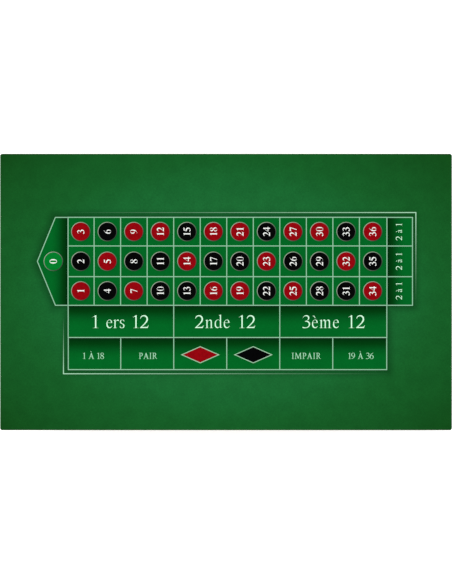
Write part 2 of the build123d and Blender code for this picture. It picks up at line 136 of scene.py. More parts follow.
def place(tree, stretch=(1, 1, 1)):
    """Object coordinates, stretched for a pattern that runs along one way."""
    coordinates = add(tree, "TexCoord").outputs["Object"]
    if stretch == (1, 1, 1):
        return coordinates
    return add(tree, "Mapping", {0: coordinates, 3: stretch}).outputs[0]


def cells(tree, where, size_mm, detail=3.0, roughness=0.55):
    """Noise whose features are about size_mm across."""
    links = {"Vector": where, "Scale": 1000.0 / size_mm, "Detail": detail, "Roughness": roughness}
    return add(tree, "TexNoise", links).outputs[0]


def relief(tree, height, depth_mm, strength=1.0):
    """A normal that rises and falls with height, by depth_mm."""
    return add(tree, "Bump", {"Height": height, "Distance": depth_mm * MM, "Strength": strength}).outputs[0]


def surface(name, **fixed):
    """A new material. fixed are the shader's own values, the same all over."""
    material = bpy.data.materials.new(name)
    material.use_nodes = True
    tree = material.node_tree
    shader = tree.nodes["Principled BSDF"]
    for key, value in fixed.items():
        shader.inputs[key.replace("_", " ")].default_value = value
    return material, tree, shader


def finish_with(tree, shader, **sockets):
    """Links patterns to the shader's inputs."""
    for key, socket in sockets.items():
        tree.links.new(socket, shader.inputs[key.replace("_", " ")])


# ---------------------------------------------------------------- materials


def beyond_box(tree, x, y, low, high):
    """How far a point lies outside a box on the layout, in metres."""
    middle_x, middle_y = (low[0] + high[0]) / 2, (low[1] + high[1]) / 2
    half_x, half_y = (high[0] - low[0]) / 2, (high[1] - low[1]) / 2
    off_x = sums(tree, "SUBTRACT", sums(tree, "ABSOLUTE", sums(tree, "SUBTRACT", x, middle_x)), half_x)
    off_y = sums(tree, "SUBTRACT", sums(tree, "ABSOLUTE", sums(tree, "SUBTRACT", y, middle_y)), half_y)
    off_x = sums(tree, "MAXIMUM", off_x, 0.0)
    off_y = sums(tree, "MAXIMUM", off_y, 0.0)
    both = sums(tree, "ADD", sums(tree, "POWER", off_x, 2.0), sums(tree, "POWER", off_y, 2.0))
    return sums(tree, "SQRT", both)


def beyond_zero_field(tree, x, y):
    """How far a point lies outside the zero field's two slanted sides."""
    middle_y = (zero_low[1] + zero_high[1]) / 2
    rise, run = (zero_high[1] - zero_low[1]) / 2, ZERO_POINT_RUN
    slope = hypot(rise, run)
    aside = sums(tree, "ABSOLUTE", sums(tree, "SUBTRACT", y, middle_y))
    along = sums(tree, "SUBTRACT", zero_low[0], x)
    forward = sums(tree, "MULTIPLY", along, rise / slope)
    slanted = sums(tree, "ADD", forward, sums(tree, "MULTIPLY", aside, run / slope))
    past_side = sums(tree, "SUBTRACT", aside, rise)
    past_right = sums(tree, "SUBTRACT", x, zero_high[0])
    return sums(tree, "MAXIMUM", sums(tree, "MAXIMUM", slanted, past_side), past_right)


MATT_WOOL = {"Roughness": 1.0, "Sheen_Weight": 0.02, "Sheen_Roughness": 0.6, "Specular_IOR_Level": 0.0}


def felt_pile(tree):
    """The look of pressed wool: soft clouds, short fibres lying every way, and their relief."""
    where = place(tree)
    clouds = cells(tree, where, 46.0, 4.0, 0.6)
    fibres = cells(tree, place(tree, (1.0, 0.34, 1.0)), 2.6, 4.0, 0.7)
    crossing = cells(tree, place(tree, (0.34, 1.0, 1.0)), 2.6, 4.0, 0.7)
    nap = sums(tree, "MULTIPLY", sums(tree, "ADD", fibres, crossing), 0.5)
    return clouds, nap


def playing_felt():
    """Wool felt for card tables: milled and brushed, so it is matt, with a soft nap. Painted shade darkens it
    from mid-table towards the edges and corners, and a painted shadow darkens it round the raised layout.
    """
    material, tree, shader = surface("wool_baize", **MATT_WOOL)
    split = add(tree, "SeparateXYZ", {0: place(tree)})
    x, y = split.outputs[0], split.outputs[1]
    far_x = sums(tree, "DIVIDE", x, board_high[0])
    far_y = sums(tree, "DIVIDE", y, board_high[1])
    spread = sums(tree, "ADD", sums(tree, "POWER", far_x, 2.0), sums(tree, "POWER", far_y, 2.0))
    # painted shade: the felt's colour darkens from the middle of the table towards its edges and corners
    painted_edge_shade = span(tree, spread, 0.0, 2.0, smooth=False)
    colours = ramp(tree, painted_edge_shade, "1d6934", "0f4415", (0.3, "17602c"), (0.45, "145824"))
    # painted shadow round the raised layout: darkest at its outline, fading out about 30 mm beyond it
    main = beyond_box(tree, x, y, (number_low[0], outside_low[1]), (number_high[0], number_high[1]))
    column = beyond_box(tree, x, y, column_low, column_high)
    near = sums(tree, "MINIMUM", sums(tree, "MINIMUM", main, column), beyond_zero_field(tree, x, y))
    painted_layout_shadow = span(tree, near, -0.004, 0.030, 0.62, 1.0)
    clouds, nap = felt_pile(tree)
    cloud_shade = span(tree, clouds, 0.3, 0.7, 0.94, 1.06)
    mottle = sums(tree, "MULTIPLY", cloud_shade, span(tree, nap, 0.3, 0.7, 0.84, 1.16))
    shade = sums(tree, "MULTIPLY", painted_layout_shadow, mottle)
    colour = add(tree, "VectorMath", {0: colours, "Scale": shade}, operation="SCALE").outputs[0]
    finish_with(tree, shader, Base_Color=colour, Normal=relief(tree, nap, 0.35, 0.6))
    return material


def panel_felt(name, axis=None, edge=0.0, reach=0.0):
    """Felt of a layout field. A painted shadow of the raised field beside it darkens the colour in a band
    that starts at edge and fades over reach.
    """
    material, tree, shader = surface(name, **MATT_WOOL)
    clouds, nap = felt_pile(tree)
    cloud_shade = span(tree, clouds, 0.3, 0.7, 0.96, 1.04)
    mottle = sums(tree, "MULTIPLY", cloud_shade, span(tree, nap, 0.3, 0.7, 0.9, 1.1))
    green = "015f21"
    base = linear(green)[:3]
    if axis is not None:
        split = add(tree, "SeparateXYZ", {0: place(tree)})
        # painted shadow: darkest at edge, where the raised field beside it stands, fading to the plain green
        near = span(tree, split.outputs[axis], edge, edge + reach, smooth=False)
        base = ramp(tree, near, "002a0b", green, (0.3, "003a0d"), (0.6, "01501b"), (0.8, "015a1e"))
    colour = add(tree, "VectorMath", {0: base, "Scale": mottle}, operation="SCALE").outputs[0]
    finish_with(tree, shader, Base_Color=colour, Normal=relief(tree, nap, 0.25, 0.5))
    return material


def tape(name, code, fade_from=None, fade_reach=None):
    """Screen print on felt: the nap breaks up the ink a little. It may thin out away from a corner."""
    material, tree, shader = surface(name, Roughness=0.9, Specular_IOR_Level=0.05)
    grain = cells(tree, place(tree), 1.8, 3.0)
    colour = tint(tree, span(tree, grain, 0.35, 0.75, 0.0, 0.22), linear(code), linear("2f7a4c"))
    if fade_from is not None:
        split = add(tree, "SeparateXYZ", {0: place(tree)})
        away_x = sums(tree, "ABSOLUTE", sums(tree, "SUBTRACT", split.outputs[0], fade_from[0]))
        away_y = sums(tree, "ABSOLUTE", sums(tree, "SUBTRACT", split.outputs[1], fade_from[1]))
        share_x = sums(tree, "DIVIDE", away_x, fade_reach[0])
        away = sums(tree, "MAXIMUM", share_x, sums(tree, "DIVIDE", away_y, fade_reach[1]))
        colour = tint(tree, span(tree, away, 0.0, 1.0, smooth=False), colour, linear("1a6030"))
    finish_with(tree, shader, Base_Color=colour, Normal=relief(tree, grain, 0.05, 0.4))
    return material


def enamel(name, code, deep):
    """Screen ink laid thick and smooth: satin, with a faint orange peel."""
    material, tree, shader = surface(name, Roughness=0.7, Specular_IOR_Level=0.02)
    clouds = cells(tree, place(tree), 9.0, 3.0)
    peel = cells(tree, place(tree), 1.2, 2.0)
    colour = tint(tree, span(tree, clouds, 0.35, 0.65), linear(code), linear(deep))
    finish_with(tree, shader, Base_Color=colour, Normal=relief(tree, peel, 0.03, 0.35))
    return material


def edging():
    """Pearl-grey ink on the discs' rims, with a painted highlight at the upper left and painted shade at the
    lower right.
    """
    material, tree, shader = surface("pearl_edging_painted_bevel_light", Roughness=0.7, Specular_IOR_Level=0.1)
    split = add(tree, "SeparateXYZ", {0: place(tree)})

    def from_centre(value, first, pitch):
        steps = sums(tree, "DIVIDE", sums(tree, "SUBTRACT", value, first - pitch / 2), pitch)
        return sums(tree, "SUBTRACT", sums(tree, "FRACT", steps), 0.5)

    x = from_centre(split.outputs[0], FIRST_X, PITCH_X)
    y = from_centre(split.outputs[1], FIRST_Y, PITCH_Y)
    # painted light on the rims' bevel: pale at the upper left, dark at the lower right
    slant = sums(tree, "SUBTRACT", sums(tree, "MULTIPLY", y, PITCH_Y / PITCH_X), x)
    turned = span(tree, slant, -0.5, 0.5, smooth=False)
    colours = ramp(tree, turned, "2c3a31", "9fae9a", (0.5, "6a7a69"))
    grain = cells(tree, place(tree), 1.0, 2.0)
    finish_with(tree, shader, Base_Color=colours, Normal=relief(tree, grain, 0.03, 0.4))
    return material


def stained_wood(name, along, pale, dark):
    """Wood, planed, stained and lacquered satin: long grain with pores drawn out along it."""
    material, tree, shader = surface(name, Coat_Weight=0.08, Coat_Roughness=0.35, Specular_IOR_Level=0.28)
    stretch = tuple(0.06 if way == along else 1.0 for way in range(3))
    fine = tuple(0.02 if way == along else 1.0 for way in range(3))
    where = place(tree, stretch)
    bands = cells(tree, where, 16.0, 4.0, 0.6)
    streaks = cells(tree, where, 4.0, 3.0, 0.6)
    pores = cells(tree, place(tree, fine), 0.9, 2.0, 0.7)
    grain = sums(tree, "ADD", sums(tree, "MULTIPLY", bands, 0.65), sums(tree, "MULTIPLY", streaks, 0.35))
    colour = tint(tree, span(tree, grain, 0.36, 0.64), linear(pale), linear(dark))
    pore = span(tree, pores, 0.52, 0.7)
    colour = tint(tree, sums(tree, "MULTIPLY", pore, 0.45), colour, linear(dark))
    rough = span(tree, pore, 0.0, 1.0, 0.34, 0.55)
    finish_with(tree, shader, Base_Color=colour, Roughness=rough, Normal=relief(tree, pores, 0.12, 0.35))
    return material


def metal(name, code, rough, along=None, grit_mm=0.8):
    """Bare metal. along is the way its turning or rolling marks run."""
    material, tree, shader = surface(name, Metallic=1.0, Base_Color=linear(code))
    stretch = tuple(0.05 if way == along else 1.0 for way in range(3))
    marks = cells(tree, place(tree, stretch), grit_mm, 3.0)
    smears = cells(tree, place(tree), 14.0, 3.0)
    both = sums(tree, "ADD", sums(tree, "MULTIPLY", marks, 0.5), sums(tree, "MULTIPLY", smears, 0.5))
    uneven = span(tree, both, 0.35, 0.65, rough - 0.08, rough + 0.1)
    finish_with(tree, shader, Roughness=uneven, Normal=relief(tree, marks, 0.03, 0.4))
    return material


def moulded(name, code, rough, grit_mm, depth_mm):
    """Plastic or rubber with the spark-eroded grain of its mould."""
    material, tree, shader = surface(name, Roughness=rough, Specular_IOR_Level=0.4)
    grit = cells(tree, place(tree), grit_mm, 2.0)
    scuffs = cells(tree, place(tree), 9.0, 4.0, 0.7)
    deep = linear(code)
    pale = tuple(min(1.0, c * 1.8 + 0.004) for c in deep[:3]) + (1.0,)
    colour = tint(tree, span(tree, scuffs, 0.45, 0.75), deep, pale)
    finish_with(tree, shader, Base_Color=colour, Normal=relief(tree, grit, depth_mm, 0.6))
    return material


def open_foam():
    """Open-cell polyurethane foam: small round pores."""
    material, tree, shader = surface("polyurethane_foam", Roughness=0.95, Specular_IOR_Level=0.1)
    pores = add(tree, "TexVoronoi", {"Vector": place(tree), "Scale": 1000 / 1.5}).outputs[0]
    colour = tint(tree, span(tree, pores, 0.1, 0.6), linear("8f8a74"), linear("d9d3bb"))
    finish_with(tree, shader, Base_Color=colour, Normal=relief(tree, pores, 0.4, 0.6))
    return material


def give(material, *names):
    """Puts a material on parts that keep their own shape."""
    for name in names:
        for slot in nodes[name].material_slots:
            slot.material = material


def finish_frame():
    """The finishes of the parts that keep their own shape."""
    tapes = tape("screen_printed_line", "8fc0a0")
    give(tapes, "number_lines", "zero_outline", "column_lines", "dozen_lines", "outside_lines")
    for name in ("back_frame_line", "front_frame_line"):
        low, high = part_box(name)
        corner = high if name == "back_frame_line" else low
        reach = (high[0] - low[0], high[1] - low[1])
        give(tape(name + "_print", "a8d6b6", corner, reach), name)
    give(enamel("red_screen_ink", "90030b", "82020a"), "red_discs", "red_diamond")
    give(enamel("black_screen_ink", "020203", "010101"), "black_discs", "black_diamond")
    give(enamel("green_screen_ink", "007a2a", "007226"), "zero_disc")
    give(edging(), "disc_rims")
    give(tape("diamond_border_print", "9cc4a4"), "diamond_borders")
    give(open_foam(), "foam_underlay")
    # Birch plywood, sanded and sealed: pale, with soft bands along the table
    give(stained_wood("birch_plywood", 0, "c9a878", "ab8656"), "top_board")
    # Mahogany, stained and lacquered: red-brown with dark streaks along each piece
    mahogany = ("7d2e13", "3d1006")
    give(stained_wood("mahogany_along_x", 0, *mahogany), "front_rail", "back_rail")
    side_wood = stained_wood("mahogany_along_y", 1, *mahogany)
    give(side_wood, "left_rail", "right_rail")
    leg_wood = stained_wood("mahogany_upright", 2, *mahogany)
    # Beech, planed: plain honey colour
    beech = stained_wood("beech_along_y", 1, "c89c6c", "a87a4c")
    give(beech, "left_batten", "centre_batten", "right_batten", "corner_blocks")
    give(beech, "left_stop_rail", "right_stop_rail")
    # Zinc plate: dull and grey. Turned steel: brighter, with rings. Brass: yellow and satin
    zinc = metal("zinc_plated_steel", "a8a9a4", 0.42, 0)
    give(zinc, "pivot_plates", "pivot_nuts", "wood_screws")
    steel = metal("turned_bright_steel", "9a9c9e", 0.32, 1)
    give(steel, "pivot_bolts", "left_clamp_bolts", "right_clamp_bolts")
    brass = metal("satin_brass", "c9a04c", 0.3, 0)
    give(brass, "left_ferrules", "right_ferrules")
    stem_steel = metal("threaded_stem_steel", "95979a", 0.35, 0)
    # Phenolic knobs: black with a low sheen. Rubber: matt and a little grey
    phenolic = moulded("black_phenolic", "0d0d0e", 0.4, 0.9, 0.05)
    rubber = moulded("moulded_rubber", "141414", 0.75, 0.7, 0.08)
    for side in SIDES:
        give(side_wood, f"{side}_upper_bar", f"{side}_stretcher")
        for end in ENDS:
            give(leg_wood, f"{side}_{end}_leg")
            give(phenolic, f"{side}_{end}_knob")
            give(rubber, f"{side}_{end}_foot_pad")
            give(stem_steel, f"{side}_{end}_foot_stem")


# ---------------------------------------------------------------- modelling tools


def nothing_selected():
    bpy.ops.object.select_all(action="DESELECT")


def make_active(piece):
    nothing_selected()
    piece.select_set(True)
    bpy.context.view_layer.objects.active = piece


def settle(piece):
    """Puts a piece's place and turn into its mesh."""
    make_active(piece)
    bpy.ops.object.transform_apply(location=True, rotation=True, scale=True)
    return piece


def apply_modifiers(piece):
    make_active(piece)
    for modifier in list(piece.modifiers):
        bpy.ops.object.modifier_apply(modifier=modifier.name)
    return piece


def join(pieces, name):
    nothing_selected()
    for piece in pieces:
        piece.select_set(True)
    bpy.context.view_layer.objects.active = pieces[0]
    bpy.ops.object.join()
    whole = bpy.context.view_layer.objects.active
    whole.name = name
    return whole


def block(name, low, high):
    """A box between two corners, ready for edit mode work."""
    nothing_selected()
    middle = [(a + b) / 2 for a, b in zip(low, high)]
    bpy.ops.mesh.primitive_cube_add(size=1, location=middle)
    piece = bpy.context.object
    piece.name = name
    piece.scale = [b - a for a, b in zip(low, high)]
    return settle(piece)


def select_in_mesh(piece, mode, wanted):
    """Enters edit mode with those faces or edges selected for which wanted is true."""
    make_active(piece)
    bpy.ops.object.mode_set(mode="EDIT")
    bpy.ops.mesh.select_mode(type=mode)
    mesh = bmesh.from_edit_mesh(piece.data)
    for part in [*mesh.faces, *mesh.edges, *mesh.verts]:
        part.select_set(False)
    parts = mesh.faces if mode == "FACE" else mesh.edges
    for part in [p for p in parts if wanted(p)]:
        part.select_set(True)
    mesh.select_flush_mode()
    bmesh.update_edit_mesh(piece.data)


def leave_edit():
    bpy.ops.object.mode_set(mode="OBJECT")


def upright(edge):
    a, b = (v.co for v in edge.verts)
    return abs(a.z - b.z) > 0.5 * (a - b).length


def on_table(piece, material):
    """Gives a new piece its material and its place on the table."""
    piece.data.materials.clear()
    piece.data.materials.append(material)
    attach(piece, "table")
    return piece


# ---------------------------------------------------------------- playing cloth


def stretched_cloth(felt):
    """The felt: pulled over the board's edge and turned in under it, with its spare folded at the corners."""
    low, high = board_low, board_high
    cloth = block("stretched_felt", low, high)
    select_in_mesh(cloth, "EDGE", upright)
    bpy.ops.mesh.bevel(offset=CORNER_RADIUS, segments=8, profile=0.5)
    leave_edit()
    select_in_mesh(cloth, "FACE", lambda face: face.normal.z > 0.9)
    bpy.ops.mesh.bevel(offset=EDGE_RADIUS, segments=6, profile=0.5)
    leave_edit()
    select_in_mesh(cloth, "FACE", lambda face: face.normal.z < -0.9)
    bpy.ops.mesh.inset(thickness=HEM, depth=0)
    bpy.ops.mesh.delete(type="FACE")
    leave_edit()
    wall = cloth.modifiers.new("thickness", "SOLIDIFY")
    wall.thickness = FELT
    wall.offset = -1
    apply_modifiers(cloth)
    make_active(cloth)
    bpy.ops.object.shade_smooth_by_angle(angle=radians(40))
    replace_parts(on_table(cloth, felt), "playing_cloth")
    corner_folds(felt)


def corner_folds(felt):
    """The spare felt at each corner, folded flat under the hem as a triangle."""
    side, thick = 26 * MM, 1.2 * MM
    inset = 2.5 * MM
    z = board_low[2] - 0.4 * thick
    folds = []
    for way_x in (-1, 1):
        for way_y in (-1, 1):
            x, y = way_x * (board_high[0] - inset), way_y * (board_high[1] - inset)
            middle = (x - way_x * side / 2, y - way_y * side / 2, z)
            nothing_selected()
            bpy.ops.mesh.primitive_plane_add(size=side, location=middle)
            fold = settle(bpy.context.object)
            select_in_mesh(fold, "FACE", lambda face: True)
            bpy.ops.mesh.bisect(plane_co=middle, plane_no=(way_x, way_y, 0), clear_inner=True)
            leave_edit()
            wall = fold.modifiers.new("thickness", "SOLIDIFY")
            wall.thickness = thick
            wall.offset = 0
            soft = fold.modifiers.new("edge", "BEVEL")
            soft.width = 0.4 * MM
            soft.segments = 2
            folds.append(apply_modifiers(fold))
    return on_table(join(folds, "hem_corner_folds"), felt)


def felt_panel(name, material):
    """A layout field in felt, in place of the plain panel, with the soft turned edge of pressed felt."""
    source = nodes[name]
    panel = bpy.data.objects.new(name.replace("_panel", "_field_felt"), source.data.copy())
    bpy.context.scene.collection.objects.link(panel)
    select_in_mesh(panel, "FACE", lambda face: True)
    bpy.ops.mesh.remove_doubles(threshold=1e-6)
    bpy.ops.mesh.dissolve_limited(angle_limit=radians(1))
    leave_edit()
    make_active(panel)
    soft = panel.modifiers.new("edge", "BEVEL")
    soft.width = 0.35 * MM
    soft.segments = 3
    soft.limit_method = "ANGLE"
    apply_modifiers(panel)
    bpy.ops.object.shade_smooth_by_angle(angle=radians(50))
    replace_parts(on_table(panel, material), name)


def layout_felts():
    felt_panel("number_panel", panel_felt("number_field_felt"))
    # painted shadows: the number field shades the dozens, zero and column fields, and the dozens field shades
    # the outside field
    felt_panel("dozen_panel", panel_felt("dozen_field_felt", 1, dozen_high[1], -PANEL_SHADOW_REACH))
    felt_panel("outside_panel", panel_felt("outside_field_felt", 1, outside_high[1], -PANEL_SHADOW_REACH))
    felt_panel("zero_panel", panel_felt("zero_field_felt", 0, zero_high[0], -ZERO_SHADOW_REACH))
    felt_panel("column_panel", panel_felt("column_field_felt", 0, column_low[0], COLUMN_SHADOW_REACH))


# ---------------------------------------------------------------- lettering

# Each glyph is its width and its outlines, on a capital height of 100.
# A point is a corner, or a smooth knot where it ends in 1.
BOLD_SIX = [
    [(60, 101), (32, 89, 1), (10, 66, 1), (3, 38, 1), (10, 10, 1), (33, -1, 1), (55, 9, 1), (63, 32, 1),
     (57, 53, 1), (41, 62, 1), (25, 58), (34, 82, 1), (60, 97)],
    [(33, 54, 1), (23, 47, 1), (20, 31, 1), (24, 11, 1), (34, 4, 1), (43, 11, 1), (46, 30, 1), (42, 48, 1)],
]
BOLD = {
    "0": (66, [[(33, 101, 1), (2, 50, 1), (33, -1, 1), (64, 50, 1)],
               [(33, 95, 1), (47, 50, 1), (33, 5, 1), (19, 50, 1)]]),
    "1": (60, [[(8, 84), (36, 101), (43, 101), (43, 12), (47, 6, 1), (58, 4), (58, 0), (9, 0), (9, 4),
                (20, 6, 1),
                (24, 12), (24, 78), (20, 84, 1), (8, 80)]]),
    "2": (66, [[(2, 0), (56, 0), (63, 28), (58, 28), (50, 18, 1), (42, 17), (22, 17), (45, 40, 1),
                (57, 58, 1),
                (58, 78, 1), (49, 95, 1), (31, 101, 1), (13, 93, 1), (3, 72), (8, 71), (15, 80, 1),
                (26, 85, 1),
                (37, 80, 1), (40, 67, 1), (36, 50, 1), (22, 28, 1), (2, 5)]]),
    "3": (66, [[(4, 78), (15, 94, 1), (33, 101, 1), (50, 94, 1), (56, 80, 1), (51, 66, 1), (41, 59),
                (56, 50, 1),
                (62, 32, 1), (52, 9, 1), (24, -1, 1), (7, 2, 1), (1, 10, 1), (5, 18, 1), (14, 18, 1),
                (25, 10, 1),
                (37, 12, 1), (44, 28, 1), (37, 44, 1), (19, 51), (19, 55), (33, 61, 1), (39, 75, 1),
                (34, 86, 1),
                (22, 88, 1), (9, 76)]]),
    "4": (66, [[(37, 0), (54, 0), (54, 23), (65, 23), (65, 37), (54, 37), (54, 101), (43, 101), (1, 36),
                (1, 23),
                (37, 23)], [(37, 37), (9, 37), (37, 80)]]),
    "5": (66, [[(17, 99), (54, 99), (60, 103), (62, 102), (55, 82), (22, 82), (18, 71), (42, 64, 1),
                (57, 49, 1),
                (60, 30, 1), (49, 8, 1), (24, -1, 1), (7, 2, 1), (1, 10, 1), (5, 17, 1), (14, 17, 1),
                (26, 9, 1),
                (37, 13, 1), (43, 27, 1), (33, 45, 1), (6, 55)]]),
    "6": (66, BOLD_SIX),
    "7": (66, [[(8, 99), (63, 99), (63, 95), (33, -1), (20, -1), (47, 82), (23, 82), (13, 79, 1),
                (7, 69), (2, 71)]]),
    "8": (66, [[(33, 101, 1), (53, 94, 1), (59, 77, 1), (54, 64, 1), (44, 55), (58, 44, 1), (63, 27, 1),
                (54, 7, 1),
                (33, -1, 1), (11, 6, 1), (3, 24, 1), (9, 40, 1), (24, 50), (11, 60, 1), (6, 76, 1),
                (13, 93, 1)],
               [(33, 96, 1), (22, 88, 1), (25, 71, 1), (38, 59), (45, 73, 1), (43, 89, 1)],
               [(28, 46), (19, 34, 1), (18, 17, 1), (33, 4, 1), (47, 12, 1), (45, 28, 1)]]),
}
BOOK_SIX = [
    [(54, 101), (30, 89, 1), (11, 66, 1), (5, 38, 1), (12, 10, 1), (31, -1, 1), (51, 10, 1), (58, 32, 1),
     (52, 52, 1), (36, 61, 1), (20, 54), (32, 80, 1), (55, 98)],
    [(31, 56, 1), (19, 48, 1), (15, 32, 1), (20, 11, 1), (32, 4, 1), (43, 12, 1), (47, 29, 1), (42, 48, 1)],
]
BOOK = {
    "1": (50, [[(6, 86), (27, 101), (32, 101), (32, 8), (35, 4, 1), (46, 3), (46, 0), (8, 0), (8, 3),
                (19, 4, 1),
                (22, 8), (22, 84), (18, 88, 1), (7, 82)]]),
    "2": (64, [[(2, 0), (55, 0), (62, 22), (58, 22), (52, 12, 1), (44, 10), (18, 10), (42, 36, 1),
                (55, 56, 1),
                (57, 74, 1), (48, 94, 1), (29, 101, 1), (11, 93, 1), (3, 74), (7, 72), (14, 85, 1),
                (27, 91, 1),
                (41, 85, 1), (46, 70, 1), (41, 52, 1), (26, 30, 1), (2, 4)]]),
    "3": (60, [[(6, 80), (15, 94, 1), (31, 101, 1), (46, 95, 1), (52, 81, 1), (47, 66, 1), (35, 57),
                (49, 51, 1),
                (57, 32, 1), (48, 9, 1), (22, -1, 1), (6, 2, 1), (4, 7, 1), (8, 10, 1), (22, 6, 1),
                (38, 10, 1),
                (47, 27, 1), (41, 44, 1), (20, 51), (20, 54), (37, 63, 1), (42, 77, 1), (37, 89, 1),
                (26, 92, 1),
                (15, 88, 1), (9, 78)]]),
    "6": (62, BOOK_SIX),
    "8": (60, [[(31, 101, 1), (47, 95, 1), (53, 79, 1), (48, 65, 1), (38, 55), (51, 43, 1), (57, 26, 1),
                (49, 6, 1),
                (30, -1, 1), (11, 6, 1), (4, 23, 1), (10, 39, 1), (23, 49), (12, 60, 1), (8, 76, 1),
                (14, 94, 1)],
               [(31, 96, 1), (20, 90, 1), (17, 78, 1), (22, 67, 1), (34, 58), (42, 69, 1), (44, 80, 1),
               (40, 92, 1)],
               [(27, 46), (16, 36, 1), (13, 23, 1), (18, 9, 1), (31, 4, 1), (43, 9, 1), (47, 23, 1),
               (42, 35, 1)]]),
    "e": (46, [[(43, 16), (35, 4, 1), (24, -1, 1), (9, 7, 1), (3, 31, 1), (10, 57, 1), (25, 67, 1),
                (38, 60, 1),
                (43, 43), (42, 40), (11, 40), (14, 20, 1), (22, 9, 1), (30, 8, 1), (41, 19)],
               [(11, 44), (33, 44), (31, 57, 1), (24, 62, 1), (15, 57, 1)]]),
    "r": (42, [[(3, 0), (27, 0), (27, 3), (19, 5), (19, 47), (27, 57, 1), (33, 56, 1), (38, 55, 1),
                (41, 61, 1),
                (37, 67, 1), (28, 64, 1), (19, 53), (19, 66), (17, 67), (3, 61), (3, 59), (10, 57),
                (10, 5), (3, 3)]]),
    "s": (40, [[(4, 19), (4, 2), (16, -1, 1), (30, 3, 1), (36, 18, 1), (31, 31, 1), (18, 39, 1),
                (12, 51, 1),
                (18, 62, 1), (27, 59, 1), (31, 49), (34, 49), (33, 64), (21, 67, 1), (8, 61, 1), (4, 49, 1),
                (9, 37, 1), (22, 29, 1), (27, 16, 1), (20, 4, 1), (11, 7, 1), (7, 19)]]),
    "n": (58, [[(3, 0), (26, 0), (26, 3), (19, 5), (19, 50), (31, 59, 1), (39, 50), (39, 5), (32, 3),
                (32, 0),
                (56, 0), (56, 3), (48, 5), (48, 49), (45, 62, 1), (35, 67, 1), (19, 55), (19, 66),
                (17, 67), (3, 61),
                (3, 59), (10, 57), (10, 5), (3, 3)]]),
    "m": (85, [[(3, 0), (26, 0), (26, 3), (19, 5), (19, 50), (30, 59, 1), (37, 50), (37, 5), (30, 3),
                (30, 0),
                (53, 0), (53, 3), (46, 5), (46, 50), (57, 59, 1), (65, 50), (65, 5), (58, 3), (58, 0),
                (82, 0),
                (82, 3), (74, 5), (74, 49), (71, 62, 1), (62, 67, 1), (45, 56), (42, 64, 1),
                (34, 67, 1), (19, 55),
                (19, 66), (17, 67), (3, 61), (3, 59), (10, 57), (10, 5), (3, 3)]]),
    "d": (56, [[(38, 0), (54, 4), (54, 7), (47, 8), (47, 104), (45, 105), (31, 101), (31, 98), (38, 96),
                (38, 63),
                (26, 67, 1), (9, 57, 1), (3, 31, 1), (9, 7, 1), (22, -1, 1), (38, 9)],
               [(38, 13), (38, 52), (33, 61, 1), (24, 62, 1), (15, 53, 1), (12, 32, 1), (17, 12, 1),
               (26, 7, 1)]]),
    "a": (48, [[(6, 52, 1), (12, 62, 1), (24, 67, 1), (36, 61, 1), (39, 48), (39, 13), (42, 6, 1),
                (47, 8), (46, 5),
                (37, -1, 1), (30, 9), (14, -1, 1), (5, 5, 1), (4, 18, 1), (11, 30, 1), (30, 40),
                (30, 50, 1),
                (23, 61, 1), (16, 57, 1), (14, 49, 1), (8, 47, 1)],
               [(30, 36), (17, 29, 1), (13, 18, 1), (17, 9, 1), (30, 14)]]),
    "I": (34, [[(3, 0), (31, 0), (31, 3), (22, 6), (22, 94), (31, 97), (31, 100), (3, 100), (3, 97),
                (12, 94),
                (12, 6), (3, 3)]]),
    "P": (58, [[(3, 0), (32, 0), (32, 3), (22, 6), (22, 44), (32, 43, 1), (49, 51, 1), (56, 72, 1),
                (49, 93, 1),
                (31, 100), (3, 100), (3, 97), (12, 94), (12, 6), (3, 3)],
               [(22, 50), (33, 49, 1), (45, 70, 1), (36, 91, 1), (22, 94)]]),
    "R": (70, [[(3, 0), (32, 0), (32, 3), (22, 6), (22, 48), (30, 48), (56, 6, 1), (70, 0), (70, 3),
                (62, 9, 1),
                (41, 50), (50, 58, 1), (55, 75, 1), (48, 94, 1), (31, 100), (3, 100), (3, 97), (12, 94),
                (12, 6),
                (3, 3)], [(22, 53), (33, 54, 1), (44, 73, 1), (36, 91, 1), (22, 94)]]),
    "A": (77, [[(0, 0), (24, 0), (24, 3), (16, 6), (24, 30), (49, 30), (57, 6), (49, 3), (49, 0),
                (77, 0), (77, 3),
                (69, 6), (41, 102), (37, 102), (9, 6), (0, 3)], [(26, 36), (37, 72), (47, 36)]]),
    "M": (100, [[(2, 0), (26, 0), (26, 3), (17, 6), (21, 80), (48, 0), (51, 0), (78, 80), (81, 6),
                 (72, 3), (72, 0),
                 (99, 0), (99, 3), (92, 6), (87, 94), (95, 97), (95, 100), (77, 100), (51, 26),
                 (25, 100), (7, 100),
                 (7, 97), (15, 94), (10, 6), (2, 3)]]),
}
for alphabet, six in ((BOLD, BOLD_SIX), (BOOK, BOOK_SIX)):
    six_width = alphabet["6"][0]
    turned_six = [[(six_width - p[0], 100 - p[1], *p[2:]) for p in outline] for outline in six]
    alphabet["9"] = (six_width, turned_six)
ACCENTED = {"è": ("e", 0), "à": ("a", 0), "À": ("A", 30)}
SPACE = 44
NUMERAL_GAP = 3
WIDER = 1.15  # the bet names are set a little wide


def glyph(alphabet, letter):
    """A letter's width and outlines, with its grave accent where it has one."""
    if letter == " ":
        return SPACE, []
    base, lift = ACCENTED.get(letter, (letter, 0))
    width, shapes = alphabet[base]
    if letter not in ACCENTED:
        return width, shapes
    middle = width / 2
    accent = [(middle - 16, 97), (middle - 5, 97), (middle + 7, 76), (middle + 3, 76)]
    return width, [*shapes, [(x, y + lift) for x, y in accent]]


